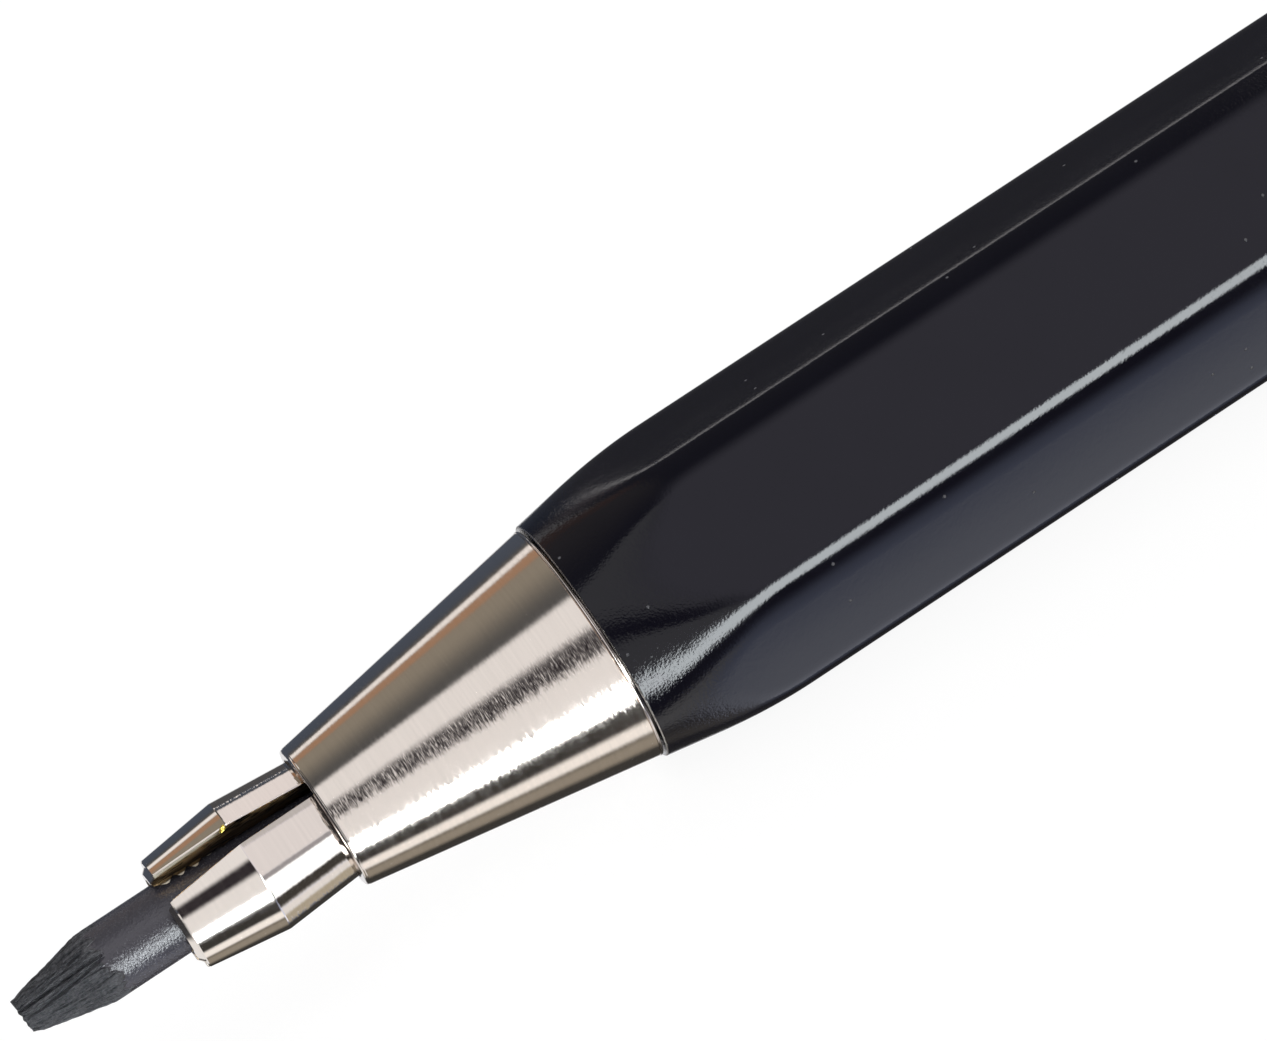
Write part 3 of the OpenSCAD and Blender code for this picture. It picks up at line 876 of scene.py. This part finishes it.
def dress_cad_nodes():
    """Materials for the CAD nodes that stay, and a small bevel on the clip's ring."""
    looks = {
        "spring_seat": BRASS,
        "spring_collar": BRASS,
        "lead_tube": BRASS,
        "rear_bush": BRASS,
        "cap_socket": BRASS,
        "collet_body": COLLET,
        "clip_ring": CLIP,
        "sharpener_insert": INSERT,
        "sharpener_blade_1": BLADE,
        "sharpener_blade_2": BLADE,
        "sharpener_blade_3": BLADE,
    }
    for node, material in looks.items():
        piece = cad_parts[node]
        piece.data.materials.clear()
        piece.data.materials.append(material)
    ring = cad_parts["clip_ring"]
    bevel = ring.modifiers.new("edges", "BEVEL")
    bevel.width = 0.08 * MM
    bevel.segments = 3
    bevel.limit_method = "ANGLE"
    bevel.angle_limit = math.radians(40)


make_barrel()
make_nose()
for number, centre in enumerate(JAW_CENTRES, 1):
    make_jaw(number, centre)
make_lead()
make_ferrule()
make_button()
make_clip_arm()
make_spring()
dress_cad_nodes()

# ---- Camera ----

VIEW_ELEVATION = 22.0
AXIS_TILT = 7.0
AXIS_ROLL = 33.31
DISTANCE = 0.2
FRAME_WIDTH = 32.37 * MM
AIM_STATION = 10.82
AIM_UP = 1.99
SENSOR = 36.0


def make_camera():
    """The camera looks down on the pencil's front from its side, tip nearer, turned so that it climbs."""
    elevation = math.radians(VIEW_ELEVATION)
    azimuth = math.asin(math.sin(math.radians(AXIS_TILT)) / math.cos(elevation))
    level = Vector((-math.sin(azimuth), -math.cos(azimuth), 0)) * math.cos(elevation)
    back = level + Vector((0, 0, math.sin(elevation)))
    button = (Vector((1, 0, 0)) - back * back.x).normalized()
    over = back.cross(button)
    roll = math.radians(AXIS_ROLL)
    right = button * math.cos(roll) - over * math.sin(roll)
    up = button * math.sin(roll) + over * math.cos(roll)
    aim = place(AIM_STATION, 0, 0) + over * AIM_UP * MM
    where = Matrix((right, up, back)).transposed().to_4x4()
    where.translation = aim + back * DISTANCE
    data = bpy.data.cameras.new("camera")
    data.sensor_width = SENSOR
    data.lens = SENSOR * DISTANCE / FRAME_WIDTH
    data.clip_start = 0.005
    data.clip_end = 50
    camera = bpy.data.objects.new("camera", data)
    camera.matrix_world = where
    bpy.context.scene.collection.objects.link(camera)
    bpy.context.scene.camera = camera


# ---- Floor and light ----

PALE = (0.93, 0.93, 0.93, 1)
SURROUND = (0.05, 0.048, 0.045, 1)


def make_floor():
    """A plain white floor that glows, so that it stays pale right under the pencil."""
    half_size = 3
    bm = bmesh.new()
    bmesh.ops.create_grid(bm, x_segments=2, y_segments=2, size=half_size)
    mesh = bpy.data.meshes.new("floor")
    bm.to_mesh(mesh)
    bm.free()
    floor = bpy.data.objects.new("floor", mesh)
    bpy.context.scene.collection.objects.link(floor)
    floor.visible_glossy = False
    material = bpy.data.materials.new("floor")
    material.use_nodes = True
    tree = Tree(material.node_tree)
    matt = tree.add("BsdfDiffuse", {"Color": PALE})
    glow = tree.add("Emission", {"Color": (1, 1, 1, 1), "Strength": 1.03})
    blend = tree.add("MixShader", {0: 0.9, 1: matt.outputs[0], 2: glow.outputs[0]})
    tree.add("OutputMaterial", {"Surface": blend.outputs[0]})
    mesh.materials.append(material)


# Soft panels and flags round the pencil, as a studio would stand them along it. Each has its middle
# and half width in degrees round the axis, from the side where the camera stands; how soft its edges
# are; its light; how far it reaches along the pencil, as the lowest and highest X of the directions
# that meet it and how soft those ends are, where -2 and 2 leave it open; and how many degrees it
# slants over a whole unit of X. A later panel covers an earlier one.
EVERYWHERE = (-2, 2, 0.1)
PANELS = (
    ("surround above", 60, 60, 60, (0.10, 0.10, 0.10), EVERYWHERE, 0),
    ("blue wall", 148, 22, 16, (0.075, 0.09, 0.12), EVERYWHERE, 0),
    ("grey wall", 150, 26, 20, (0.085, 0.085, 0.09), (0.065, 2, 0.06), 0),
    ("ceiling", 90, 22, 40, (0.30, 0.27, 0.22), (-0.6, 0.03, 0.06), 0),
    ("warm edge", 104.5, 6, 6, (0.41, 0.25, 0.16), (-0.6, 0.03, 0.06), 0),
    ("top strip", 115.5, 4.5, 5, (1.05, 1.02, 1.0), (-2, -0.02, 0.05), 0),
    ("faint line", 121, 2, 5, (0.50, 0.42, 0.40), (-0.02, 0.08, 0.05), 78),
    ("top line", 130.5, 2, 3, (1.3, 1.26, 1.25), (0.065, 2, 0.06), 0),
    ("front card", -2, 46, 7, (0.98, 0.97, 0.97), (-2, 0.035, 0.1), 0),
    ("side card", 13, 42, 34, (0.91, 0.88, 1.0), (0.035, 2, 0.1), 0),
    ("camera", -9.9, 11.5, 10, (0.035, 0.03, 0.035), (-0.285, 0.015, 0.14), -45),
    ("under sky", -98, 26, 34, (0.72, 0.80, 1.1), (0.035, 2, 0.1), 0),
    ("under card", -99, 8.5, 8, (1.15, 1.12, 1.08), (-2, 0.055, 0.08), 12),
    ("under side", -114.5, 10, 4, (1.25, 1.3, 1.5), (0.055, 2, 0.08), 0),
    ("under edge", -122, 11, 14, (0.34, 0.305, 0.25), (-2, 0.055, 0.08), 0),
    ("lamp glow", -43.7, 11, 14, (1.25, 1.3, 1.35), (-0.6, 0.055, 0.08), 76),
    ("lamp", -43.4, 8.7, 4, (16, 17, 17.5), (-0.6, 0.27, 0.08), 76),
    ("front flag", -10, 105, 10, (0.05, 0.05, 0.055), (-2, -0.40, 0.06), 0),
    ("front floor", -142, 27, 10, (1.0, 1.0, 1.0), (-2, -0.40, 0.06), 0),
    ("rear wall", 148, 24, 10, (0.075, 0.09, 0.12), (0.235, 2, 0.02), 0),
    ("rear top card", 96, 26, 5, (0.95, 0.90, 0.90), (0.235, 2, 0.02), 0),
    ("rear grey", 52, 20, 5, (0.62, 0.60, 0.60), (0.235, 2, 0.02), 0),
    ("rear card", 4, 28, 5, (0.92, 0.89, 0.90), (0.235, 2, 0.02), 0),
    ("rear line", -28, 4, 3, (0.40, 0.39, 0.41), (0.235, 2, 0.02), 0),
    ("low card", -51.5, 19.5, 3, (1.5, 1.55, 1.6), (0.235, 2, 0.02), 0),
    ("rear flag", -80, 11, 4, (0.06, 0.055, 0.05), (0.235, 2, 0.02), 0),
    ("rear tan", -122, 18, 16, (0.50, 0.45, 0.35), (0.235, 2, 0.02), 0),
    ("rear under", -99, 9, 12, (0.95, 0.93, 0.92), (0.235, 2, 0.02), 0),
    ("back card", 180, 12, 8, (0.85, 0.85, 0.87), (-0.2, 2, 0.1), 0),
    ("back card", -180, 12, 8, (0.85, 0.85, 0.87), (-0.2, 2, 0.1), 0),
)


def make_light():
    """The panels, which only reflections show. Everything else is lit evenly by a pale surround."""
    world = bpy.data.worlds.new("studio")
    bpy.context.scene.world = world
    world.use_nodes = True
    world.cycles.sampling_method = "NONE"
    tree = Tree(world.node_tree)
    direction = tree.add("SeparateXYZ", {0: tree.add("TexCoord").outputs["Generated"]}).outputs
    sine = math.sin(math.radians(VIEW_ELEVATION))
    cosine = math.cos(math.radians(VIEW_ELEVATION))
    x, y, z = direction
    towards = tree.math("SUBTRACT", tree.math("MULTIPLY", z, sine), tree.math("MULTIPLY", y, cosine))
    above = tree.math("ADD", tree.math("MULTIPLY", z, cosine), tree.math("MULTIPLY", y, sine))
    turn = tree.math("DEGREES", tree.math("ARCTAN2", above, towards))
    colour = SURROUND
    for _, middle, half, soft, light, (low, high, fade), slant in PANELS:
        centre = tree.math("ADD", tree.math("MULTIPLY", x, slant), middle)
        off = tree.math("ABSOLUTE", tree.math("SUBTRACT", turn, centre))
        mask = tree.ramp(off, half - soft / 2, half + soft / 2, 1.0, 0.0)
        if low > -1:
            mask = tree.math("MULTIPLY", mask, tree.ramp(x, low - fade / 2, low + fade / 2))
        if high < 1:
            mask = tree.math("MULTIPLY", mask, tree.ramp(x, high - fade / 2, high + fade / 2, 1.0, 0.0))
        colour = tree.mix(mask, colour, (*light, 1))
    reflected = tree.add("LightPath").outputs["Is Glossy Ray"]
    background = tree.add("Background", {"Color": tree.mix(reflected, PALE, colour), "Strength": 1.0})
    tree.add("OutputWorld", {"Surface": background.outputs[0]})


make_camera()
make_floor()
make_light()
bpy.context.scene.view_settings.view_transform = "Standard"
